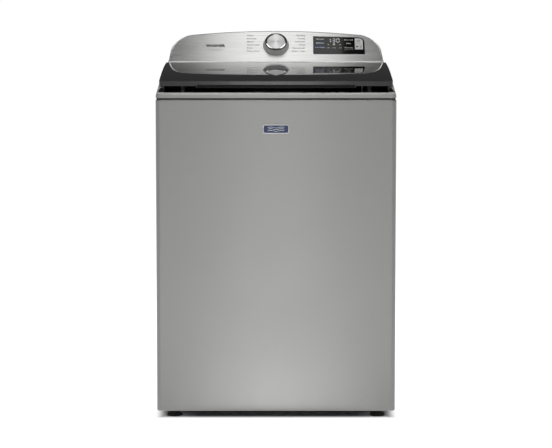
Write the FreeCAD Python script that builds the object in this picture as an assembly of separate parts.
"""Top load washing machine, in millimetres.

Frame: +Z up, X across the width (the control panel faces -Y), origin on the floor at the
centre of the footprint. Every function below returns the solids of one or a few nodes.
"""

import FreeCAD
import Part
import math
import os

V = FreeCAD.Vector

# ---------------------------------------------------------------- driving dimensions
WIDTH = 698.0            # cabinet, side to side
DEPTH = 720.0            # badge face to the ends of the water inlets
HEIGHT = 1115.0          # floor to the crown of the console
HALF_W = WIDTH / 2
FRONT_Y = -358.0         # front face of the cabinet
BACK_Y = 335.0           # back edge of the cabinet
CABINET_BOTTOM = 22.0
CABINET_TOP = 935.0
SEAM = 5.0               # shadow gap between cabinet and top cover
COVER_BOTTOM = CABINET_TOP + SEAM
SHEET = 1.0              # cabinet steel
CORNER_R = 12.0          # vertical front corners of the cabinet
FOLD_R = 4.0             # folded top and bottom edges of the cabinet

# lid: its top is a shallow arch that rises towards the console
LID_FRONT_Y, LID_FRONT_Z = -350.0, 988.5
LIP_Y, LIP_Z = 142.0, 1020.0     # bottom front edge of the console
ARCH_RISE = 33.5         # height gained from the lid's front edge to the console
ARCH_SAG = 6.5           # bulge of the arch above its chord
LID_HALF_W = 339.0
LID_BACK_Y = 135.0
LID_THICK = 14.0
GLASS_THICK = 4.0
GRIP_HALF_W = 233.0
GRIP_LIP = 10.5          # lid thickness over the grip
HINGE_Y, HINGE_Z = 128.0, 1013.0
HINGE_PIN_R = 2.4
HINGE_BARREL_R = 4.2
HINGE_EAR_X = (310.5, 323.5)     # the bracket's upright, in a pocket of the lid

# top cover and deck
COVER_WALL = 2.0
BAND_TOP = 956.0         # top of the painted band under the lid's front edge
WELL_HALF_W = 326.0      # the deck's well in the top cover
WELL_FRONT_Y = -343.0
RECESS_BACK_Y = -300.0   # the grip recess runs out through the rails this far back
RAIL_EDGE = 3.5          # painted edge left beside the recess
PLATEAU_Y, PLATEAU_Z = 152.0, 1004.0   # the shelf that carries the console
DECK_FRONT_Z = 950.0
DECK_SLOPE = ARCH_RISE / (LIP_Y - LID_FRONT_Y)
DECK_THICK = 3.0
MOUTH_HALF_X, MOUTH_FRONT, MOUTH_BACK, MOUTH_R = 205.0, -255.0, 105.0, 150.0
SKIRT_BOTTOM = 903.0

# console: a fascia plane that leans back, with its own axes u (X), s (up the slope), w (out)
FASCIA_LEAN = 48.0       # degrees above the horizontal
FASCIA_HALF_W = 334.5    # at the bottom edge
FASCIA_TAPER = 8.4       # degrees that each side leans inwards
FASCIA_CROWN_R = 2180.0  # radius of the arched top edge
FASCIA_CORNER_R = 77.0
FASCIA_EDGE_R = 8.0
FASCIA_DEEP = 18.0
FASCIA_WALL = 2.5
HOUSING_DROP = 0.33      # fall of the console's top per unit of run towards the back
KNOB_S = 70.0            # height of the dial's centre up the slope
KNOB_BASE_R, KNOB_TOP_R, KNOB_TALL = 40.5, 33.8, 19.5
KNOB_CAP_R = 27.6
DISPLAY_U = (115.6, 275.7)
DISPLAY_S = (34.3, 107.0)
DISPLAY_DROP = 5.5       # fall of the display's top edge towards its rounded corner
DISPLAY_CORNER_R = 20.0
BUTTON_U = (245.0, 270.0)
BUTTON_POWER_S = (76.2, 98.0)
BUTTON_START_S = (53.5, 75.0)
BUTTON_CORNER_R = 13.0
BUTTON_TRAVEL = 1.5

# wash unit
TUB_Y = -12.0            # the vertical wash axis is at X = 0, Y = TUB_Y
TUB_R = 318.0
TUB_WALL = 3.0
TUB_BOTTOM, TUB_TOP = 240.0, 879.4
BASKET_R = 292.0
BASKET_BOTTOM, BASKET_TOP = 290.0, 850.0
RING_HOLE_R = 258.0
SPIN_TUBE_R, SHAFT_R = 20.0, 9.0
RUNNING_GAP = 0.05
PULLEY_R, MOTOR_PULLEY_R = 80.0, 20.0
PULLEY_BOTTOM, PULLEY_TOP = 96.0, 112.0
MOTOR_Y = TUB_Y + 185.0
PUMP_X, PUMP_Y, PUMP_Z = 165.0, -135.0, 205.0

# suspension and feet
ROD_REACH = 305.0        # rods stand this far from the wash axis in X and in Y
ROD_R = 3.5
ROD_BOTTOM, ROD_TOP = 160.0, 916.0
ARM_Z = (306.0, 326.0)
SPRING_R, SPRING_WIRE = 15.0, 1.6
SPRING_Z = (168.0, 292.0)
SPRING_TURNS = 9
FOOT_X, FOOT_FRONT_Y, FOOT_BACK_Y = 299.0, -308.0, 285.0
FOOT_R, FOOT_STEM_R = 22.3, 5.0

# services on the back
VALVE_X, VALVE_Z, INLET_R = (-230.0, -180.0), 885.0, 13.25
DRAIN_X, DRAIN_R = 215.0, 14.0
CORD_X, CORD_R = 130.0, 4.5
SERVICE_END_Y = DEPTH / 2


# ---------------------------------------------------------------- helpers
def box(x0, x1, y0, y1, z0, z1):
    return Part.makeBox(x1 - x0, y1 - y0, z1 - z0, V(x0, y0, z0))


def cyl(x, y, z0, z1, r):
    return Part.makeCylinder(r, z1 - z0, V(x, y, z0))


def cyl_along(start, direction, length, r):
    return Part.makeCylinder(r, length, V(*start), V(*direction))


def tube(x, y, z0, z1, r_out, r_in):
    return cyl(x, y, z0, z1, r_out).cut(cyl(x, y, z0 - 1, z1 + 1, r_in))


def polygon_face(points):
    closed = points + [points[0]]
    return Part.Face(Part.makePolygon([V(*p) for p in closed]))


def prism_x(points_yz, x0, x1):
    face = polygon_face([(x0, y, z) for y, z in points_yz])
    return face.extrude(V(x1 - x0, 0, 0))


def prism_z(points_xy, z0, z1):
    face = polygon_face([(x, y, z0) for x, y in points_xy])
    return face.extrude(V(0, 0, z1 - z0))


def turned(points_rz, x=0.0, y=0.0):
    """A body of revolution about the vertical line through x, y."""
    face = polygon_face([(x + r, y, z) for r, z in points_rz])
    return face.revolve(V(x, y, 0), V(0, 0, 1), 360)


def turned_y(points_ry, x, z):
    """A body of revolution about the line along Y through x, z."""
    face = polygon_face([(x + r, y, z) for r, y in points_ry])
    return face.revolve(V(x, 0, z), V(0, 1, 0), 360)


def fuse(shapes):
    body = shapes[0]
    for shape in shapes[1:]:
        body = body.fuse(shape)
    return body.removeSplitter()


def fillet_where(shape, radius, test):
    edges = [e for e in shape.Edges if test(e.BoundBox, e)]
    return shape.makeFillet(radius, edges)


def flat_at(box_, axis, value):
    low, high = getattr(box_, axis + "Min"), getattr(box_, axis + "Max")
    return abs(low - value) < 0.01 and abs(high - value) < 0.01


def rounded_block(x0, x1, y0, y1, z0, z1, r):
    block = box(x0, x1, y0, y1, z0, z1)
    return fillet_where(block, r, lambda b, e: b.ZLength > (z1 - z0) - 0.01)


def at_four(places, make):
    return [make(x, y) for x, y in places]


def hex_nut(x, y, z0, z1, across_flats, bore_r):
    corner = across_flats / 2 / math.cos(math.pi / 6)
    points = [
        (x + corner * math.cos(k * math.pi / 3), y + corner * math.sin(k * math.pi / 3))
        for k in range(6)
    ]
    return prism_z(points, z0, z1).cut(cyl(x, y, z0 - 1, z1 + 1, bore_r))


def path_wire(points, radius_share=0.45):
    """Straight runs joined by tangent arcs, each arc as large as its two runs allow."""
    pts = [V(*p) for p in points]
    edges, start = [], pts[0]
    for a, b, c in zip(pts, pts[1:], pts[2:]):
        u, w = (b - a).normalize(), (c - b).normalize()
        half_turn = math.acos(max(-1.0, min(1.0, u.dot(w)))) / 2
        setback = radius_share * min((b - a).Length, (c - b).Length)
        entry, leave = b - u * setback, b + w * setback
        radius = setback / math.tan(half_turn)
        bisector = (w - u).normalize()
        centre = b + bisector * (radius / math.cos(half_turn))
        middle = centre - bisector * radius
        edges.append(Part.LineSegment(start, entry).toShape())
        edges.append(Part.Arc(entry, middle, leave).toShape())
        start = leave
    edges.append(Part.LineSegment(start, pts[-1]).toShape())
    return Part.Wire(edges)


def swept(points, r, share=0.45):
    wire = path_wire(points, share)
    first, second = V(*points[0]), V(*points[1])
    section = Part.Wire(Part.makeCircle(r, first, (second - first).normalize()))
    return wire.makePipeShell([section], True, True)


def hose(points, r_out, r_in, share=0.45):
    return swept(points, r_out, share).cut(swept(points, r_in, share))


def two_circle_hull(y1, r1, y2, r2, z0, z1):
    """The convex slab round two circles on the Y axis, as a belt follows them."""
    lean = math.asin((r1 - r2) / (y2 - y1))
    cos, sin = math.cos(lean), math.sin(lean)
    points = [
        (r1 * cos, y1 + r1 * sin),
        (r2 * cos, y2 + r2 * sin),
        (-r2 * cos, y2 + r2 * sin),
        (-r1 * cos, y1 + r1 * sin),
    ]
    return fuse([cyl(0, y1, z0, z1, r1), cyl(0, y2, z0, z1, r2), prism_z(points, z0, z1)])


# ---------------------------------------------------------------- the lid's arch
def arch_centre():
    run = LIP_Y - LID_FRONT_Y
    chord = math.hypot(run, ARCH_RISE)
    radius = chord**2 / (8 * ARCH_SAG) + ARCH_SAG / 2
    tilt = math.atan2(ARCH_RISE, run)
    arm = radius - ARCH_SAG
    y = (LID_FRONT_Y + LIP_Y) / 2 + arm * math.sin(tilt)
    z = LID_FRONT_Z + ARCH_RISE / 2 - arm * math.cos(tilt)
    return y, z, radius


ARCH_Y, ARCH_Z, ARCH_R = arch_centre()


def arch_z(y, below=0.0):
    """Height of the arch at y, or of the parallel arch that lies below it."""
    return ARCH_Z + math.sqrt((ARCH_R - below) ** 2 - (y - ARCH_Y) ** 2)


def arch_edge(x, y0, y1, below):
    ends = [V(x, y, arch_z(y, below)) for y in (y0, (y0 + y1) / 2, y1)]
    return Part.Arc(*ends).toShape()


def arched_slab(x0, x1, y0, y1, top, bottom):
    """A slab between two parallel arches, top and bottom below the lid's surface."""
    upper, lower = arch_edge(x0, y0, y1, top), arch_edge(x0, y0, y1, bottom)
    front = Part.makeLine(V(x0, y0, arch_z(y0, bottom)), V(x0, y0, arch_z(y0, top)))
    back = Part.makeLine(V(x0, y1, arch_z(y1, top)), V(x0, y1, arch_z(y1, bottom)))
    wire = Part.Wire(Part.__sortEdges__([lower, front, upper, back]))
    return Part.Face(wire).extrude(V(x1 - x0, 0, 0))


def deck_z(y):
    return DECK_FRONT_Z + (y + 344.0) * DECK_SLOPE


# ---------------------------------------------------------------- the console's own frame
LEAN = math.radians(FASCIA_LEAN)
FASCIA_LEN = FASCIA_EDGE_R + (
    HEIGHT - LIP_Z - FASCIA_EDGE_R * (1 - math.cos(LEAN))
) / math.sin(LEAN)       # up the slope at the middle, so that the crown reaches HEIGHT
OUTWARD = V(0, -math.sin(LEAN), math.cos(LEAN))


def on_fascia(shape):
    """Moves a shape drawn flat (x = u, y = s, z = w) onto the leaning fascia plane."""
    placed = shape.copy()
    turn = FreeCAD.Rotation(V(1, 0, 0), FASCIA_LEAN)
    placed.Placement = FreeCAD.Placement(V(0, LIP_Y, LIP_Z), turn).multiply(shape.Placement)
    return placed


def fascia_outline(inset, w0, w1):
    """The fascia's outline drawn inwards by inset, as a slab from w0 to w1, corners rounded."""
    lean_in = math.tan(math.radians(FASCIA_TAPER))
    radius = FASCIA_CROWN_R - inset

    def side_u(s):
        return FASCIA_HALF_W - s * lean_in - inset / math.cos(math.radians(FASCIA_TAPER))

    def top_s(u):
        return FASCIA_LEN - FASCIA_CROWN_R + math.sqrt(radius**2 - u**2)

    corner_s = FASCIA_LEN
    for _ in range(30):
        corner_s = top_s(side_u(corner_s))
    corner_u = side_u(corner_s)
    left, right = V(-corner_u, corner_s, w0), V(corner_u, corner_s, w0)
    edges = [
        Part.makeLine(V(-side_u(inset), inset, w0), V(side_u(inset), inset, w0)),
        Part.makeLine(V(side_u(inset), inset, w0), right),
        Part.Arc(right, V(0, top_s(0), w0), left).toShape(),
        Part.makeLine(left, V(-side_u(inset), inset, w0)),
    ]
    slab = Part.Face(Part.Wire(edges)).extrude(V(0, 0, w1 - w0))
    return fillet_where(
        slab,
        FASCIA_CORNER_R - inset,
        lambda b, e: b.ZLength > abs(w1 - w0) - 0.01 and b.YMin > corner_s - 1,
    )


# ---------------------------------------------------------------- cabinet
def cabinet_block(inset):
    """The cabinet's outer form, drawn inwards by inset."""
    block = box(
        -HALF_W + inset, HALF_W - inset, FRONT_Y + inset, BACK_Y,
        CABINET_BOTTOM + inset, CABINET_TOP - inset,
    )
    front = FRONT_Y + inset
    block = fillet_where(
        block,
        CORNER_R - inset,
        lambda b, e: b.ZLength > 100 and flat_at(b, "Y", front),
    )
    levels = (CABINET_BOTTOM + inset, CABINET_TOP - inset)

    def is_fold(b, e):
        return any(flat_at(b, "Z", z) for z in levels) and not flat_at(b, "Y", BACK_Y)

    return fillet_where(block, FOLD_R - inset, is_fold)


def cabinet_shell():
    flange = 14.0
    shell = cabinet_block(0).cut(cabinet_block(SHEET))
    mouth = box(
        -HALF_W + flange, HALF_W - flange, FRONT_Y + flange, BACK_Y - flange,
        CABINET_BOTTOM - 5, CABINET_TOP + 5,
    )
    rear = box(-HALF_W + flange, HALF_W - flange, BACK_Y - 20, BACK_Y + 5, 40, 915)
    back_flange = cabinet_block(SHEET).common(
        box(-HALF_W, HALF_W, BACK_Y - SHEET, BACK_Y, CABINET_BOTTOM, CABINET_TOP)
    )
    return fuse([shell.cut(mouth), back_flange.cut(rear)])


def in_cabinet(shape):
    return shape.common(cabinet_block(SHEET + 0.1))


def pressed_panel(x0, x1, z0, z1, deep):
    """A raised field with sloping sides on the back panel's outer face."""
    y = BACK_Y + SHEET
    base = box(x0, x1, y - SHEET, y + deep, z0, z1)
    return base.makeChamfer(deep * 0.8, [e for e in base.Edges if flat_at(e.BoundBox, "Y", y + deep)])


def rear_panel():
    deep = 6.0
    plate = box(-341, 341, BACK_Y, BACK_Y + SHEET, 34, 926)
    fields = ((-300, 300, 90, 330), (-300, 300, 360, 590), (-300, 300, 620, 830))
    parts = [plate] + [pressed_panel(*field, deep) for field in fields]
    panel = fuse(parts)
    for x0, x1, z0, z1 in fields:
        hollow = pressed_panel(x0 + SHEET, x1 - SHEET, z0 + SHEET, z1 - SHEET, deep)
        hollow.translate(V(0, -SHEET, 0))
        panel = panel.cut(hollow)
    holes = [cyl_along((x, BACK_Y - 5, VALVE_Z), (0, 1, 0), 12, 14.2) for x in VALVE_X]
    holes.append(cyl_along((DRAIN_X, BACK_Y - 5, VALVE_Z), (0, 1, 0), 12, 14.5))
    holes.append(cyl_along((CORD_X, BACK_Y - 5, VALVE_Z), (0, 1, 0), 12, 9.3))
    slot_step = 16.0
    for k in range(14):
        x = -104 + k * slot_step
        holes.append(box(x - 2.5, x + 2.5, BACK_Y - 2, BACK_Y + 10, 48, 78))
    for hole in holes:
        panel = panel.cut(hole)
    return panel


def panel_screws():
    spots = [(x, z) for x in (-334, 334) for z in (60, 270, 480, 690, 900)]
    spots += [(x, 920) for x in (-120, 40)]
    screws = []
    for x, z in spots:
        head = cyl_along((x, BACK_Y + SHEET, z), (0, 1, 0), 2.6, 4.2)
        head = fillet_where(head, 1.2, lambda b, e: flat_at(b, "Y", BACK_Y + SHEET + 2.6))
        shank = cyl_along((x, BACK_Y - 8, z), (0, 1, 0), 9.2, 1.8)
        screws.append(head.fuse(shank))
    return Part.makeCompound(screws)


def corner_places(front_y, back_y, x):
    return [(-x, front_y), (x, front_y), (-x, back_y), (x, back_y)]


FOOT_PLACES = corner_places(FOOT_FRONT_Y, FOOT_BACK_Y, FOOT_X)
ROD_PLACES = corner_places(TUB_Y - ROD_REACH, TUB_Y + ROD_REACH, ROD_REACH)


def corner_piece(x, y, reach, z0, thick, flange_tall, hole_r, plate_at_top):
    """A pressed corner bracket: a plate across the corner and two flanges on the walls."""
    side = 1 if x > 0 else -1
    wall_y = FRONT_Y if y < 0 else BACK_Y
    inward = 1 if y < 0 else -1
    xs = sorted((side * (HALF_W - SHEET), side * (HALF_W - SHEET - reach)))
    ys = sorted((wall_y + inward * SHEET, wall_y + inward * (SHEET + reach)))
    plate = box(*xs, *ys, z0, z0 + thick)
    flange_z = (z0 - flange_tall, z0 + thick) if plate_at_top else (z0, z0 + flange_tall)
    x_wall = sorted((side * (HALF_W - SHEET), side * (HALF_W - SHEET - thick)))
    y_wall = sorted((wall_y + inward * SHEET, wall_y + inward * (SHEET + thick)))
    body = fuse([plate, box(*x_wall, *ys, *flange_z), box(*xs, *y_wall, *flange_z)])
    body = body.cut(cyl(x, y, z0 - 5, z0 + thick + 5, hole_r))
    return in_cabinet(body).cut(box(-400, 400, BACK_Y - SHEET, 400, 0, 1200))


def base_brackets():
    z = CABINET_BOTTOM + SHEET
    return Part.makeCompound(at_four(
        FOOT_PLACES,
        lambda x, y: corner_piece(x, y, 88, z + 0.1, 3.0, 34, FOOT_STEM_R + 0.3, False),
    ))


def corner_braces():
    return Part.makeCompound(at_four(
        ROD_PLACES,
        lambda x, y: corner_piece(x, y, 78, 898, 3.0, 32, 8.0, False),
    ))


def foot(x, y):
    """A moulded pad on a threaded stem."""
    stem_top, z_hex = 60.0, 16.5
    pad = turned(
        [(0, 0), (FOOT_R - 2.5, 0), (FOOT_R, 2.5), (FOOT_R, 6), (FOOT_R - 3, 10),
         (12, 12.5), (FOOT_STEM_R + 3, 13), (FOOT_STEM_R + 3, z_hex), (FOOT_STEM_R, z_hex),
         (FOOT_STEM_R, stem_top - 1.5), (FOOT_STEM_R - 1.5, stem_top), (0, stem_top)],
        x, y,
    )
    return pad


def foot_lock_nuts():
    top = CABINET_BOTTOM + SHEET
    return Part.makeCompound(at_four(
        FOOT_PLACES, lambda x, y: hex_nut(x, y, top - 5.9, top, 17.0, FOOT_STEM_R + 0.15)
    ))


# ---------------------------------------------------------------- suspension
def suspension_rods():
    def rod(x, y):
        shank = cyl(x, y, ROD_BOTTOM, ROD_TOP, ROD_R)
        head = cyl(x, y, 911, ROD_TOP, 7)
        washer = cyl(x, y, ROD_BOTTOM + 4, ROD_BOTTOM + 6.3, 19)
        nut = hex_nut(x, y, ROD_BOTTOM, ROD_BOTTOM + 4, 13, 1)
        return fuse([shank, head, washer, nut])

    return Part.makeCompound(at_four(ROD_PLACES, rod))


def rod_ball_caps():
    def cap(x, y):
        return turned(
            [(ROD_R + 0.2, 894), (7.6, 894), (7.6, 901.1), (14, 901.1), (14, 905),
             (11, 909.5), (7, 911), (ROD_R + 0.2, 911)],
            x, y,
        )

    return Part.makeCompound(at_four(ROD_PLACES, cap))


def suspension_springs():
    pitch = (SPRING_Z[1] - SPRING_Z[0] - 2 * SPRING_WIRE) / SPRING_TURNS

    def spring(x, y):
        start = SPRING_Z[0] + SPRING_WIRE
        helix = Part.makeHelix(pitch, pitch * SPRING_TURNS, SPRING_R)
        section = Part.Wire(Part.makeCircle(SPRING_WIRE, V(SPRING_R, 0, 0), V(0, 1, 0)))
        coil = Part.Wire(helix).makePipeShell([section], True, True)
        coil.translate(V(x, y, start))
        return coil

    return Part.makeCompound(at_four(ROD_PLACES, spring))


def spring_cups():
    top = ARM_Z[0]

    def cup(x, y):
        return turned(
            [(ROD_R + 0.5, SPRING_Z[1] + 0.2), (19, SPRING_Z[1] + 0.2), (19, 286), (21, 286),
             (21, 298), (12, top), (ROD_R + 0.5, top)],
            x, y,
        )

    return Part.makeCompound(at_four(ROD_PLACES, cup))


# ---------------------------------------------------------------- top cover and deck
def cover_section(inset):
    """A body of revolution about the arch's axis whose sides roll inwards towards the lid."""
    top = ARCH_R - LID_THICK - 1.5 - inset
    roll_tall, roll_in = 36.0, 11.5
    low = top + inset - roll_tall
    roll_r = (roll_tall**2 + roll_in**2) / (2 * roll_in)
    width = HALF_W - inset
    mid_drop = roll_tall * 0.6
    mid_in = roll_r - math.sqrt(roll_r**2 - mid_drop**2)

    def point(x, r):
        return V(x, ARCH_Y, ARCH_Z + r)

    edges = []
    for side in (1, -1):
        edges.append(Part.makeLine(point(side * width, low - 140), point(side * width, low)))
        edges.append(Part.Arc(
            point(side * width, low),
            point(side * (width - mid_in), low + mid_drop),
            point(side * (width - roll_in), top),
        ).toShape())
    edges.append(Part.makeLine(point(-(width - roll_in), top), point(width - roll_in, top)))
    edges.append(Part.makeLine(point(-width, low - 140), point(width, low - 140)))
    face = Part.Face(Part.Wire(Part.__sortEdges__(edges)))
    centre = V(0, ARCH_Y, ARCH_Z)
    face.rotate(centre, V(1, 0, 0), -4)
    return face.revolve(centre, V(1, 0, 0), 13)


def cover_block(inset):
    """The top cover's outer form over the whole footprint, drawn inwards by inset."""
    front, back = FRONT_Y + inset, BACK_Y - inset
    profile = [
        (front, COVER_BOTTOM), (front, 950 - inset), (front + 4, 957 - inset),
        (front + 15, 973 - inset), (front + 60, 1030 - inset), (back, 1030 - inset),
        (back, COVER_BOTTOM),
    ]
    block = prism_x(profile, -HALF_W, HALF_W).common(cover_section(inset))
    plan = rounded_block(
        -HALF_W + inset, HALF_W - inset, front, back, 900, 1060, CORNER_R - inset
    )
    shelf = box(-400, 400, HINGE_Y - 7, 400, PLATEAU_Z - inset, 1100)
    return block.common(plan).cut(shelf)


def top_cover():
    wall = COVER_WALL
    outer = cover_block(0)
    front_cut = prism_x(
        [(FRONT_Y - 5, 957.5), (FRONT_Y + 0.5, 953.5), (FRONT_Y + 3.5, BAND_TOP - 0.6),
         (FRONT_Y + 6, BAND_TOP), (WELL_FRONT_Y, BAND_TOP + 0.5), (WELL_FRONT_Y, 1040),
         (FRONT_Y - 5, 1040)],
        -WELL_HALF_W, WELL_HALF_W,
    )
    well = box(-WELL_HALF_W, WELL_HALF_W, WELL_FRONT_Y, PLATEAU_Y, 900, 1060)
    inner = cover_block(wall)
    below = box(-400, 400, -400, 400, 900, COVER_BOTTOM + 0.01)
    side_gap = (WELL_HALF_W + wall, HALF_W)
    recess = cover_section(RAIL_EDGE).common(
        box(-HALF_W, HALF_W, FRONT_Y - 5, RECESS_BACK_Y, BAND_TOP + 0.5, 1060)
    )
    rail_hollow = box(*side_gap, RECESS_BACK_Y + wall, BACK_Y, 900, 1060).fuse(
        box(*side_gap, FRONT_Y, RECESS_BACK_Y + wall + 1, 900, BAND_TOP - wall)
    )
    cavities = [
        recess,
        inner.common(rail_hollow),
        inner.common(rail_hollow.mirror(V(0, 0, 0), V(1, 0, 0))),
        inner.common(box(-side_gap[0] - 1, side_gap[0] + 1, PLATEAU_Y + wall, BACK_Y, 900, 1060)),
        inner.common(box(-side_gap[0] - 1, side_gap[0] + 1, FRONT_Y, WELL_FRONT_Y - wall, 900,
                         BAND_TOP - wall)),
    ]
    body = outer.cut(front_cut).cut(well)
    for cavity in cavities:
        body = body.cut(cavity)
    body = body.cut(below)
    inset = 3.5
    seam_ring = rounded_block(
        -HALF_W + inset, HALF_W - inset, FRONT_Y + inset, BACK_Y - inset,
        CABINET_TOP, COVER_BOTTOM + 1, CORNER_R - inset,
    )
    ledge = rounded_block(
        -HALF_W + 1, HALF_W - 1, FRONT_Y + 1, BACK_Y - 1, COVER_BOTTOM, COVER_BOTTOM + 3,
        CORNER_R - 1,
    )
    inside = box(-336, 336, FRONT_Y + 12, BACK_Y - 12, CABINET_TOP - 1, COVER_BOTTOM + 9)
    return fuse([body, seam_ring.cut(inside), ledge.cut(inside)])


def mouth_block(grow, z0, z1):
    return rounded_block(
        -MOUTH_HALF_X - grow, MOUTH_HALF_X + grow, MOUTH_FRONT - grow, MOUTH_BACK + grow,
        z0, z1, MOUTH_R + grow,
    )


DRAWER_BAY = (-328.0, -86.0, -194.0, 917.0)   # left wall, back wall, front wall, floor


def deck():
    """The moulded tray under the lid, with the round mouth, its skirt and the drawer's bay."""
    front, back = WELL_FRONT_Y + 0.3, PLATEAU_Y - 0.3
    half = WELL_HALF_W - 0.3
    left, bay_back, bay_front, bay_floor = DRAWER_BAY

    def under_deck(lowest, raised=0.0):
        return prism_x(
            [(front, lowest), (front, deck_z(front) + raised),
             (back, deck_z(back) + raised), (back, lowest)], -half, half,
        )

    plate = prism_x(
        [(front, deck_z(front) - DECK_THICK), (front, deck_z(front)),
         (back, deck_z(back)), (back, deck_z(back) - DECK_THICK)], -half, half,
    )
    skirt = mouth_block(3.0, SKIRT_BOTTOM, 1010).common(under_deck(SKIRT_BOTTOM, 2.5))
    wall = 2.5
    bay = box(left - wall + 4.8, -150, bay_front - wall, bay_back + wall, bay_floor - wall, 1010)
    bay = bay.common(under_deck(bay_floor - wall))
    bosses = [cyl(x, -331, 946, 961.6, 8.5) for x in (-271, 271)]
    stub = cyl_along((-312, bay_back, 936), (0, 1, 0), 16, 5.4)
    body = fuse([plate, skirt, bay, stub] + bosses)
    body = body.cut(mouth_block(0, 880, 1050))
    body = body.cut(box(left + 4.8, -150, bay_front, bay_back, bay_floor, 1010))
    body = body.cut(box(243, 257, -330, -294, 900, 1000))
    return body


def dispenser_drawer():
    left, bay_back, bay_front, bay_floor = DRAWER_BAY
    gap = 0.6
    y0, y1, z0, z1 = bay_front + gap, bay_back - gap, bay_floor + gap, 953.0
    body = box(left + 4.8 + gap, -150, y0, y1, z0, z1).cut(mouth_block(-0.4, 880, 1050))
    wall = 3.0
    split = y0 + (y1 - y0) * 0.62
    cups = [
        rounded_block(left + 8.5, -216, y0 + wall, split - wall / 2, z0 + wall, 1000, 6),
        rounded_block(left + 8.5, -216, split + wall / 2, y1 - wall, z0 + wall, 1000, 6),
    ]
    for cup in cups:
        body = body.cut(cup)
    pull = cyl_along((-206, -140, z1 + 3), (1, 0, 0), 60, 14)
    return body.cut(pull)


def lid_lock_housing():
    body = rounded_block(236, 291, -334, -290, 906, 944, 3)
    strike_way = box(244, 256, -330, -294, 914, 960)
    bolt_way = box(240, 288, -314.6, -305.4, 930.8, 939.2)
    return body.cut(strike_way).cut(bolt_way)


def lid_lock_bolt():
    return box(258, 286, -314, -306, 931.4, 938.6)


def hinge_brackets():
    def bracket(side):
        xs = sorted((side * HINGE_EAR_X[0], side * HINGE_EAR_X[1]))
        width = xs[1] - xs[0]
        barrel = cyl_along((xs[0], HINGE_Y, HINGE_Z), (1, 0, 0), width, HINGE_BARREL_R)
        front, back = HINGE_Y - HINGE_BARREL_R, HINGE_Y + HINGE_BARREL_R - 1.0
        ear = prism_x([(front, deck_z(front)), (back, deck_z(back)), (back, HINGE_Z),
                       (front, HINGE_Z)], *xs)
        base = prism_x([(100, deck_z(100)), (138, deck_z(138)), (138, deck_z(138) + 2.5),
                        (100, deck_z(100) + 2.5)], *xs)
        bracket_body = fuse([barrel, ear, base])
        bracket_body.translate(V(0, 0, 0.02))
        bore = cyl_along((xs[0] - 1, HINGE_Y, HINGE_Z), (1, 0, 0), 20, HINGE_PIN_R + RUNNING_GAP)
        return bracket_body.cut(bore)

    return Part.makeCompound([bracket(1), bracket(-1)])


# ---------------------------------------------------------------- lid
def arched_plate(half_w, front, back, corner_r, top, bottom, edge_r=0.0):
    """A rounded rectangle in plan, between two arches, with its top edge eased."""
    slab = arched_slab(-half_w - 4, half_w + 4, front - 4, back + 4, top, bottom)
    plate = slab.common(rounded_block(-half_w, half_w, front, back, 940, 1060, corner_r))

    def is_top(b, e):
        above = arch_z(b.YMax, top)
        return abs(b.ZMax - above) < 0.3 and abs(b.ZMin - arch_z(b.YMin, top)) < 0.3

    return fillet_where(plate, edge_r, is_top) if edge_r else plate


def lid_glass():
    return arched_plate(335.5, -346.5, 131.5, 9, 0, GLASS_THICK, 0.8)


def lid_frame():
    body = arched_plate(LID_HALF_W, LID_FRONT_Y, LID_BACK_Y, 12, 0, LID_THICK, 1.5)
    body = body.cut(arched_plate(335.7, -346.7, 131.7, 9.2, -6, GLASS_THICK + 0.05))
    body = body.cut(rounded_block(-290, 290, -285, 75, 940, 1060, 25))
    grip_ends = prism_x([(-352, 900), (-352, 1000), (-331, 1000), (-331, 900)], -GRIP_HALF_W, GRIP_HALF_W)
    grip = arched_slab(-GRIP_HALF_W, GRIP_HALF_W, -352, -331, GRIP_LIP, LID_THICK + 3)
    finger = arched_slab(-GRIP_HALF_W + 3, GRIP_HALF_W - 3, -345, -331, 7.5, LID_THICK + 3)
    body = body.cut(grip.common(grip_ends)).cut(finger)
    skirt = arched_slab(-GRIP_HALF_W + 1, GRIP_HALF_W - 1, -331, -328, LID_THICK - 1, 22.5)
    body = fuse([body, skirt])
    under_glass = arched_slab(-400, 400, 60, 200, -20, GLASS_THICK)
    for side in (1, -1):
        ear = sorted((side * (HINGE_EAR_X[0] - 1.5), side * (HINGE_EAR_X[1] + 1.5)))
        pocket = box(*ear, HINGE_Y - 10, LID_BACK_Y + 2, 980, 1060)
        start = min(side * 297, side * 330)
        bore = cyl_along((start, HINGE_Y, HINGE_Z), (1, 0, 0), 33, HINGE_PIN_R + 0.02)
        body = body.cut(pocket.cut(under_glass)).cut(bore)
    return body


def lid_hinge_pins():
    pins = []
    for side in (1, -1):
        xs = sorted((side * 297.2, side * 329.8))
        pins.append(cyl_along((xs[0], HINGE_Y, HINGE_Z), (1, 0, 0), xs[1] - xs[0], HINGE_PIN_R))
    return Part.makeCompound(pins)


def lid_strike():
    pad = arched_slab(240, 260, -325, -295, LID_THICK, LID_THICK + 3)
    blade = box(248.5, 251.5, -320, -300, 925, 976)
    window = box(240, 260, -316, -304, 929.5, 940.5)
    return fuse([pad, blade]).cut(window)


def lid_bumpers():
    below = arched_slab(-400, 400, -349, -300, -20, LID_THICK)
    return Part.makeCompound([cyl(x, -331, 962, 990, 6).cut(below) for x in (-271, 271)])


# ---------------------------------------------------------------- console
def rounded_fascia(inset, w_back, w_front, edge_r):
    slab = fascia_outline(inset, w_back, w_front)

    def is_front(b, e):
        return flat_at(b, "Z", w_front)

    return fillet_where(slab, edge_r, is_front)


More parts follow.
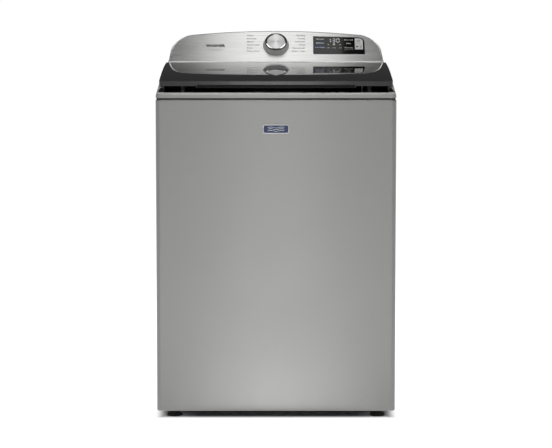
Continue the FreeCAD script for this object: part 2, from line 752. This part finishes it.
def display_slab(grow, w0, w1):
    """The display's outline: square at three corners, rounded where the console rounds."""
    u0, u1 = DISPLAY_U[0] - grow, DISPLAY_U[1] + grow
    s0, s1 = DISPLAY_S[0] - grow, DISPLAY_S[1] + grow
    right_s = s1 - DISPLAY_DROP
    points = [(u0, s0, w0), (u1, s0, w0), (u1 - 1.5, right_s, w0), (u0, s1, w0)]
    slab = polygon_face(points).extrude(V(0, 0, w1 - w0))

    def near(b, u, s):
        return b.ZLength > 0.5 * (w1 - w0) and math.hypot(b.Center.x - u, b.Center.y - s) < 1

    slab = fillet_where(slab, DISPLAY_CORNER_R + grow, lambda b, e: near(b, u1 - 1.5, right_s))
    return fillet_where(
        slab, 2 + grow,
        lambda b, e: near(b, u0, s0) or near(b, u1, s0) or near(b, u0, s1),
    )


def button_slab(span_s, grow, w0, w1, corner_r):
    slab = box(
        BUTTON_U[0] - grow, BUTTON_U[1] + grow, span_s[0] - grow, span_s[1] + grow, w0, w1
    )
    upright = [e for e in slab.Edges if e.BoundBox.ZLength > 0.5 * (w1 - w0)]

    def is_outer(e):
        return e.BoundBox.Center.x > BUTTON_U[1] - 1 and e.BoundBox.Center.y > span_s[1] - 1

    if corner_r:
        slab = slab.makeFillet(corner_r + grow, [e for e in upright if is_outer(e)])
    return slab


def console_fascia():
    skin = rounded_fascia(0, -FASCIA_DEEP, 0, FASCIA_EDGE_R)
    hollow = rounded_fascia(FASCIA_WALL, -FASCIA_DEEP - 5, -FASCIA_WALL, FASCIA_EDGE_R - FASCIA_WALL)
    body = skin.cut(hollow)
    body = body.cut(cyl(0, KNOB_S, -20, 5, 7.0))
    body = body.cut(display_slab(0.3, -20, 5))
    return on_fascia(body)


def display_window():
    body = display_slab(0, -3.3, -0.3)
    for span, corner in ((BUTTON_POWER_S, BUTTON_CORNER_R), (BUTTON_START_S, 0)):
        body = body.cut(button_slab(span, 0.35, -10, 5, corner))
    return on_fascia(body)


def push_button(span, corner):
    cap = button_slab(span, 0, -12, 0.9, corner)
    return on_fascia(fillet_where(cap, 0.7, lambda b, e: flat_at(b, "Z", 0.9)))


def control_board():
    board = box(96, 292, 22, 92, -22, -20)
    display_module = box(124, 236, 40, 92, -20, -6)
    switches = []
    for span in (BUTTON_POWER_S, BUTTON_START_S):
        u, s = sum(BUTTON_U) / 2, sum(span) / 2
        switches.append(box(u - 3, u + 3, s - 3, s + 3, -20, -12 - BUTTON_TRAVEL - 0.2))
    connector = box(110, 140, 24, 36, -20, -10)
    return on_fascia(fuse([board, display_module, connector] + switches))


def knob_encoder():
    case = box(-15, 15, KNOB_S - 15, KNOB_S + 15, -17, -6)
    bush = cyl(0, KNOB_S, -6, -FASCIA_WALL, 9)
    collar = cyl(0, KNOB_S, -FASCIA_WALL, -0.5, 6.8)
    body = fuse([case, bush, collar])
    return on_fascia(body.cut(cyl(0, KNOB_S, -15, 5, 3.0 + RUNNING_GAP)))


def knob_parts():
    shaft = cyl(0, KNOB_S, -14.5, 14.9, 3.0)
    ring = turned(
        [(KNOB_BASE_R - 3.5, 0.8), (KNOB_BASE_R, 0.8), (KNOB_BASE_R - 0.6, 3.2),
         (KNOB_TOP_R + 3.2, 9.5), (KNOB_TOP_R + 0.6, KNOB_TALL - 2.5), (KNOB_TOP_R - 0.6, KNOB_TALL),
         (KNOB_TOP_R - 2.0, KNOB_TALL), (KNOB_CAP_R + 0.2, KNOB_TALL - 1.8),
         (KNOB_CAP_R + 0.2, 15), (3.05, 15), (3.05, 3), (8, 3), (8, 12), (30, 12), (33.5, 9)],
        0, KNOB_S,
    )
    cap_top = KNOB_TALL - 1.6
    cap = turned(
        [(0, 15.1), (KNOB_CAP_R, 15.1), (KNOB_CAP_R, cap_top - 0.5), (KNOB_CAP_R - 0.5, cap_top),
         (0, cap_top + 0.4)],
        0, KNOB_S,
    )
    return on_fascia(shaft), on_fascia(ring), on_fascia(cap)


def console_housing():
    wall = 2.5
    back = BACK_Y + 3.0
    direction = V(0, 1, -HOUSING_DROP)
    reach = 260.0

    def block(inset, w):
        face = on_fascia(fascia_outline(inset, w, w - 1)).Faces
        plane_point = V(0, LIP_Y, LIP_Z) + OUTWARD * w
        flat = [
            f for f in face
            if abs((f.CenterOfMass - plane_point).dot(OUTWARD)) < 0.01
            and abs(f.normalAt(0, 0).dot(OUTWARD)) > 0.99
        ]
        return flat[0].extrude(direction * reach)

    outer = block(0.8, -FASCIA_DEEP - 0.1).common(box(-400, 400, 0, back, PLATEAU_Z + 0.1, 1200))
    inner = block(0.8 + wall, -FASCIA_DEEP - 0.08)
    inner = inner.common(box(-400, 400, 0, back - wall, PLATEAU_Z - 5, 1200))
    body = outer.cut(inner)
    vents = [box(x - 30, x + 30, back - 6, back + 2, 1030, 1034) for x in (-180, 0, 180)]
    for vent in vents:
        body = body.cut(vent)
    return body


def front_badge():
    y = FRONT_Y
    plate = box(-38, 38, y - 2.0, y - 0.01, 837, 863)
    plate = fillet_where(plate, 6.0, lambda b, e: b.YLength > 1.9)
    return plate.makeChamfer(0.8, [e for e in plate.Edges if flat_at(e.BoundBox, "Y", y - 2.0)])


# ---------------------------------------------------------------- services on the back
def inlet_valve():
    body = rounded_block(-262, -148, 296, BACK_Y - 0.1, 864, 904, 4)
    bezel = fillet_where(
        box(-262, -148, BACK_Y + SHEET, BACK_Y + SHEET + 2, 863, 907), 5,
        lambda b, e: b.YLength > 1.9,
    )
    parts = [body, bezel]
    for x in VALVE_X:
        parts.append(cyl_along((x, BACK_Y - 1, VALVE_Z), (0, 1, 0), SERVICE_END_Y - BACK_Y + 1, INLET_R))
        parts.append(fillet_where(box(x - 15, x + 15, 300, 330, 904, 931), 3, lambda b, e: b.ZLength > 26))
    parts.append(cyl_along((-205, 284, 890), (0, 1, 0), 14, 5.4))
    valve = fuse(parts)
    for x in VALVE_X:
        valve = valve.cut(cyl_along((x, 330, VALVE_Z), (0, 1, 0), 40, 9.0))
    return valve


def inlet_hose():
    points = [
        (-312, -81.5, 936), (-312, 40, 936), (-300, 150, 932), (-215, 225, 905),
        (-205, 255, 890), (-205, 293.5, 890),
    ]
    return hose(points, 8.0, 5.6)


def drain_port():
    bore, inner, groove, flange = 9.5, 12.0, 14.2, 22.0
    return turned_y(
        [(bore, 300), (inner, 300), (inner, BACK_Y - 2), (groove, BACK_Y - 2),
         (groove, BACK_Y + SHEET), (flange, BACK_Y + SHEET), (flange, BACK_Y + SHEET + 3),
         (DRAIN_R, BACK_Y + SHEET + 3), (DRAIN_R, SERVICE_END_Y - 1.0), (bore, SERVICE_END_Y - 1.0)],
        DRAIN_X, VALVE_Z,
    )


def cord_grommet():
    return turned_y(
        [(CORD_R, BACK_Y - 5), (12, BACK_Y - 5), (12, BACK_Y - 0.1), (9, BACK_Y - 0.1),
         (9, BACK_Y + SHEET + 0.1), (13, BACK_Y + SHEET + 0.1), (11, BACK_Y + 6), (CORD_R, BACK_Y + 6)],
        CORD_X, VALVE_Z,
    )


# ---------------------------------------------------------------- tub
def outer_tub():
    inner_r = TUB_R - TUB_WALL
    parts = [
        tube(0, TUB_Y, TUB_BOTTOM, TUB_TOP, TUB_R, inner_r),
        tube(0, TUB_Y, TUB_BOTTOM, TUB_BOTTOM + 4.5, TUB_R, 41.0),
    ]
    for z in (420, 560, 700, 820):
        parts.append(tube(0, TUB_Y, z, z + 5, TUB_R + 6, inner_r))
    for k in range(12):
        rib = box(112, 304, TUB_Y - 2, TUB_Y + 2, TUB_BOTTOM - 12, TUB_BOTTOM + 1)
        rib.rotate(V(0, TUB_Y, 0), V(0, 0, 1), 15 + 30 * k)
        parts.append(rib)
    reach = ROD_REACH * math.sqrt(2)
    for k in range(4):
        arm = box(inner_r + 1, reach + 21, TUB_Y - 20, TUB_Y + 20, *ARM_Z)
        arm = arm.fuse(prism_z(
            [(inner_r + 1, TUB_Y - 44), (inner_r + 42, TUB_Y - 20),
             (inner_r + 42, TUB_Y + 20), (inner_r + 1, TUB_Y + 44)], *ARM_Z,
        ))
        arm.rotate(V(0, TUB_Y, 0), V(0, 0, 1), 45 + 90 * k)
        parts.append(arm)
    body = fuse(parts)
    body = body.cut(cyl(0, TUB_Y, TUB_BOTTOM + 4.5, TUB_TOP + 1, inner_r))
    for x, y in ROD_PLACES:
        body = body.cut(cyl(x, y, ARM_Z[0] - 1, ARM_Z[1] + 1, ROD_R + 1.5))
    return body.cut(cyl(PUMP_X, PUMP_Y, TUB_BOTTOM - 20, TUB_BOTTOM + 5, 15))


def tub_ring():
    return turned(
        [(TUB_R + 0.2, 856), (TUB_R + 4, 856), (TUB_R + 4, 884), (RING_HOLE_R + 4, 884),
         (RING_HOLE_R + 4, 892), (RING_HOLE_R, 892), (RING_HOLE_R, 879.6), (TUB_R + 0.2, 879.6)],
        0, TUB_Y,
    )


def tub_seal():
    r = SPIN_TUBE_R + 0.3
    return turned(
        [(r + 6, 235.6), (40.8, 235.6), (40.8, 246), (r + 9, 246), (r + 4, 252), (r, 252),
         (r, 249), (r + 3, 247), (r + 3, 243), (r, 241), (r, 238)],
        0, TUB_Y,
    )


def gearcase():
    body = turned(
        [(110, TUB_BOTTOM - 0.02), (110, 232), (74, 232), (68, 226), (68, 128), (20, 128),
         (20, 134), (31, 134), (31, 150), (28, 150), (28, 204), (36, 204), (36, 221),
         (26, 221), (26, 235.4), (41, 235.4), (41, TUB_BOTTOM - 0.02)],
        0, TUB_Y,
    )
    ribs = []
    for k in range(6):
        rib = box(60, 100, TUB_Y - 3, TUB_Y + 3, 190, 233)
        rib.rotate(V(0, TUB_Y, 0), V(0, 0, 1), 60 * k)
        ribs.append(rib)
    body = fuse([body] + ribs)
    return body.cut(cyl(0, TUB_Y, 150, 204, 28))


def ball_bearing(z0, z1, r_in, r_out):
    """Two races with a shield between them, as one closed ring."""
    third = (r_out - r_in) / 3
    return turned(
        [(r_in, z0), (r_in + third, z0), (r_in + third, z0 + 1.2), (r_out - third, z0 + 1.2),
         (r_out - third, z0), (r_out, z0), (r_out, z1), (r_out - third, z1),
         (r_out - third, z1 - 1.2), (r_in + third, z1 - 1.2), (r_in + third, z1), (r_in, z1)],
        0, TUB_Y,
    )


def spin_bearings():
    inner = SPIN_TUBE_R + RUNNING_GAP
    return Part.makeCompound([
        ball_bearing(134.5, 149.5, inner, 30.95),
        ball_bearing(204.5, 220.5, inner, 35.95),
    ])


def motor_housing():
    case = turned(
        [(0, 126), (44, 126), (64, 134), (64, 222), (0, 222)], 0, MOTOR_Y
    )
    hollow = turned(
        [(0, 129), (43, 129), (61, 136), (61, 219), (0, 219)], 0, MOTOR_Y
    )
    mount = rounded_block(-78, 78, MOTOR_Y - 66, MOTOR_Y + 66, 222, TUB_BOTTOM - 12.02, 12)
    body = fuse([case, mount]).cut(hollow)
    for k in range(10):
        slot = box(50, 70, MOTOR_Y - 4, MOTOR_Y + 4, 150, 205)
        slot.rotate(V(0, MOTOR_Y, 0), V(0, 0, 1), 36 * k)
        body = body.cut(slot)
    body = body.cut(cyl(0, MOTOR_Y, 120, 132, 6 + RUNNING_GAP))
    stator = tube(0, MOTOR_Y, 142, 208, 60.9, 41)
    return Part.makeCompound([body, stator])


def motor_rotor():
    return fuse([cyl(0, MOTOR_Y, 90, 212, 6), cyl(0, MOTOR_Y, 144, 206, 39.5)])


def grooved_rim(r, z0, z1, grooves):
    """Outline points of a ribbed belt rim from z0 up to z1."""
    pitch = (z1 - z0) / grooves
    points = []
    for k in range(grooves):
        z = z0 + k * pitch
        points += [(r, z + pitch * 0.2), (r - pitch * 0.55, z + pitch * 0.6)]
    return points + [(r, z1 - 0.01)]


def motor_pulley():
    rim = [(6.02, PULLEY_BOTTOM - 2), (MOTOR_PULLEY_R + 1.5, PULLEY_BOTTOM - 2),
           (MOTOR_PULLEY_R + 1.5, PULLEY_BOTTOM)]
    rim += grooved_rim(MOTOR_PULLEY_R, PULLEY_BOTTOM, PULLEY_TOP, 6)
    rim += [(MOTOR_PULLEY_R + 1.5, PULLEY_TOP), (MOTOR_PULLEY_R + 1.5, PULLEY_TOP + 2),
            (6.02, PULLEY_TOP + 2)]
    return turned(rim, 0, MOTOR_Y)


def drive_pulley():
    rim = [(12, 88), (12, 132), (0, 132), (0, 88)]
    shaft = turned(rim, 0, TUB_Y)
    outline = [(11.5, 98), (11.5, 118), (20, 118), (24, 106), (72, 106), (72, PULLEY_TOP + 1.5),
               (PULLEY_R + 2, PULLEY_TOP + 1.5), (PULLEY_R + 2, PULLEY_TOP)]
    outline += list(reversed(grooved_rim(PULLEY_R, PULLEY_BOTTOM, PULLEY_TOP, 6)))
    outline += [(PULLEY_R + 2, PULLEY_BOTTOM), (PULLEY_R + 2, PULLEY_BOTTOM - 1.5),
                (72, PULLEY_BOTTOM - 1.5), (72, 102), (24, 102), (20, 98)]
    wheel = turned(outline, 0, TUB_Y)
    for k in range(6):
        hole = cyl(48, TUB_Y, 90, 120, 15)
        hole.rotate(V(0, TUB_Y, 0), V(0, 0, 1), 60 * k)
        wheel = wheel.cut(hole)
    nut = hex_nut(0, TUB_Y, 90, 98, 30, 11)
    return fuse([shaft, wheel, nut])


def drive_belt():
    gap, thick = 0.35, 3.6
    z0, z1 = PULLEY_BOTTOM + 1.2, PULLEY_TOP - 1.2
    outer = two_circle_hull(
        TUB_Y, PULLEY_R + gap + thick, MOTOR_Y, MOTOR_PULLEY_R + gap + thick, z0, z1
    )
    inner = two_circle_hull(TUB_Y, PULLEY_R + gap, MOTOR_Y, MOTOR_PULLEY_R + gap, z0 - 1, z1 + 1)
    return outer.cut(inner)


def drain_pump():
    volute = cyl(PUMP_X, PUMP_Y, 186, 222, 42)
    inlet = cyl(PUMP_X, PUMP_Y, 220, TUB_BOTTOM - 0.02, 18)
    motor = cyl(PUMP_X, PUMP_Y, 132, 187, 30)
    outlet = cyl_along((PUMP_X + 20, PUMP_Y, PUMP_Z), (1, 0, 0), 62, 12)
    body = fuse([volute, inlet, motor, outlet])
    body = body.cut(cyl(PUMP_X, PUMP_Y, 190, 219, 38))
    body = body.cut(cyl(PUMP_X, PUMP_Y, 215, 245, 14.8))
    body = body.cut(cyl_along((PUMP_X + 20, PUMP_Y, PUMP_Z), (1, 0, 0), 70, 9.5))
    return body.cut(cyl(PUMP_X, PUMP_Y, 140, 195, 4 + RUNNING_GAP))


def pump_rotor():
    parts = [cyl(PUMP_X, PUMP_Y, 141, 194, 4), cyl(PUMP_X, PUMP_Y, 192, 208, 9),
             cyl(PUMP_X, PUMP_Y, 191.5, 193.5, 30)]
    for k in range(6):
        vane = box(PUMP_X + 6, PUMP_X + 33, PUMP_Y - 1.2, PUMP_Y + 1.2, 192, 210)
        vane.rotate(V(PUMP_X, PUMP_Y, 0), V(0, 0, 1), 60 * k)
        parts.append(vane)
    return fuse(parts)


def drain_hose():
    points = [
        (PUMP_X + 52, PUMP_Y, PUMP_Z), (PUMP_X + 125, PUMP_Y, PUMP_Z), (PUMP_X + 125, 175, PUMP_Z),
        (215, 275, PUMP_Z), (215, 275, VALVE_Z), (215, 331.5, VALVE_Z),
    ]
    return hose(points, 15.0, 12.1)


# ---------------------------------------------------------------- basket and wash plate
def basket_shell():
    thick = 1.0
    wall = tube(0, TUB_Y, BASKET_BOTTOM, BASKET_TOP, BASKET_R, BASKET_R - thick)
    floor = tube(0, TUB_Y, BASKET_BOTTOM, BASKET_BOTTOM + thick, BASKET_R, 58.3)
    return fuse([wall, floor])


def balance_ring():
    return turned(
        [(262, 818), (268, 812), (290.8, 812), (290.8, BASKET_TOP + 0.3), (296, BASKET_TOP + 0.3),
         (296, 855), (292, 858), (268, 858), (262, 852)],
        0, TUB_Y,
    )


def basket_hub():
    disc = cyl(0, TUB_Y, 262, 289.9, 64)
    boss = cyl(0, TUB_Y, 289, 295.5, 58)
    parts = [disc, boss]
    for k in range(3):
        arm = prism_z([(50, TUB_Y - 34), (284, TUB_Y - 16), (284, TUB_Y + 16), (50, TUB_Y + 34)],
                      276, 289.9)
        arm.rotate(V(0, TUB_Y, 0), V(0, 0, 1), 120 * k + 30)
        parts.append(arm)
    return fuse(parts).cut(cyl(0, TUB_Y, 255, 300, SPIN_TUBE_R + 0.02))


def spin_tube():
    return tube(0, TUB_Y, 134.5, 295, SPIN_TUBE_R, SHAFT_R + RUNNING_GAP)


def agitator_shaft():
    return cyl(0, TUB_Y, 134, 333, SHAFT_R)


def wash_plate():
    dish = turned(
        [(SHAFT_R + 0.02, 297), (26, 297), (26, 320), (44, 320), (58, 314), (120, 308.5),
         (225, 302.5), (241, 300), (241, 297), (244, 297), (247, 300), (246, 304), (225, 307),
         (120, 313), (62, 320), (48, 330), (44, 336), (38.5, 336), (38.5, 334), (SHAFT_R + 0.02, 334)],
        0, TUB_Y,
    )
    fins = []
    for k in range(6):
        fin = prism_x([(46, 326), (46, 352), (70, 356), (110, 340), (170, 325), (238, 309),
                       (236, 303.5), (120, 310), (60, 317)],
                      -7, 7)
        crest = [e for e in fin.Edges if e.BoundBox.ZMin > 310 and e.BoundBox.XLength < 0.1]
        fin = fin.makeChamfer(3.0, crest)
        fin.translate(V(0, TUB_Y, 0))
        fin.rotate(V(0, TUB_Y, 0), V(0, 0, 1), 60 * k)
        fins.append(fin)
    return fuse([dish] + fins)


def plate_cap():
    return turned([(0, 334.1), (38.3, 334.1), (38.3, 341), (30, 346), (14, 349), (0, 349.5)], 0, TUB_Y)


# ---------------------------------------------------------------- all nodes
def build():
    knob_shaft, knob_ring, knob_cap = knob_parts()
    feet = dict(zip(("foot_front_left", "foot_front_right", "foot_back_left", "foot_back_right"),
                    FOOT_PLACES))
    nodes = {
        "cabinet_shell": cabinet_shell(),
        "rear_panel": rear_panel(),
        "panel_screws": panel_screws(),
        "base_brackets": base_brackets(),
        "corner_braces": corner_braces(),
        "foot_lock_nuts": foot_lock_nuts(),
        "suspension_rods": suspension_rods(),
        "rod_ball_caps": rod_ball_caps(),
        "suspension_springs": suspension_springs(),
        "spring_cups": spring_cups(),
        "top_cover": top_cover(),
        "deck": deck(),
        "dispenser_drawer": dispenser_drawer(),
        "lid_lock_housing": lid_lock_housing(),
        "lid_lock_bolt": lid_lock_bolt(),
        "hinge_brackets": hinge_brackets(),
        "lid_glass": lid_glass(),
        "lid_frame": lid_frame(),
        "lid_hinge_pins": lid_hinge_pins(),
        "lid_strike": lid_strike(),
        "lid_bumpers": lid_bumpers(),
        "console_fascia": console_fascia(),
        "console_housing": console_housing(),
        "display_window": display_window(),
        "power_button": push_button(BUTTON_POWER_S, BUTTON_CORNER_R),
        "start_button": push_button(BUTTON_START_S, 0),
        "control_board": control_board(),
        "knob_encoder": knob_encoder(),
        "knob_shaft": knob_shaft,
        "knob_ring": knob_ring,
        "knob_cap": knob_cap,
        "front_badge": front_badge(),
        "inlet_valve": inlet_valve(),
        "inlet_hose": inlet_hose(),
        "drain_port": drain_port(),
        "cord_grommet": cord_grommet(),
        "outer_tub": outer_tub(),
        "tub_ring": tub_ring(),
        "tub_seal": tub_seal(),
        "gearcase": gearcase(),
        "spin_bearings": spin_bearings(),
        "motor_housing": motor_housing(),
        "motor_rotor": motor_rotor(),
        "motor_pulley": motor_pulley(),
        "drive_pulley": drive_pulley(),
        "drive_belt": drive_belt(),
        "drain_pump": drain_pump(),
        "pump_rotor": pump_rotor(),
        "drain_hose": drain_hose(),
        "basket_shell": basket_shell(),
        "balance_ring": balance_ring(),
        "basket_hub": basket_hub(),
        "spin_tube": spin_tube(),
        "agitator_shaft": agitator_shaft(),
        "wash_plate": wash_plate(),
        "plate_cap": plate_cap(),
    }
    for name, place in feet.items():
        nodes[name] = foot(*place)
    return nodes


def main():
    os.makedirs("parts", exist_ok=True)
    nodes = build()
    for name, shape in nodes.items():
        solids = shape.Solids
        body = solids[0] if len(solids) == 1 else Part.makeCompound(solids)
        state = "ok" if solids and all(s.isValid() and s.Volume > 0 for s in solids) else "BAD"
        print(f"{name:20s} {state} solids={len(solids)} volume={body.Volume / 1000:.1f} cm3")
        body.exportStep(f"parts/{name}.step")
    print(len(nodes), "nodes")


main()
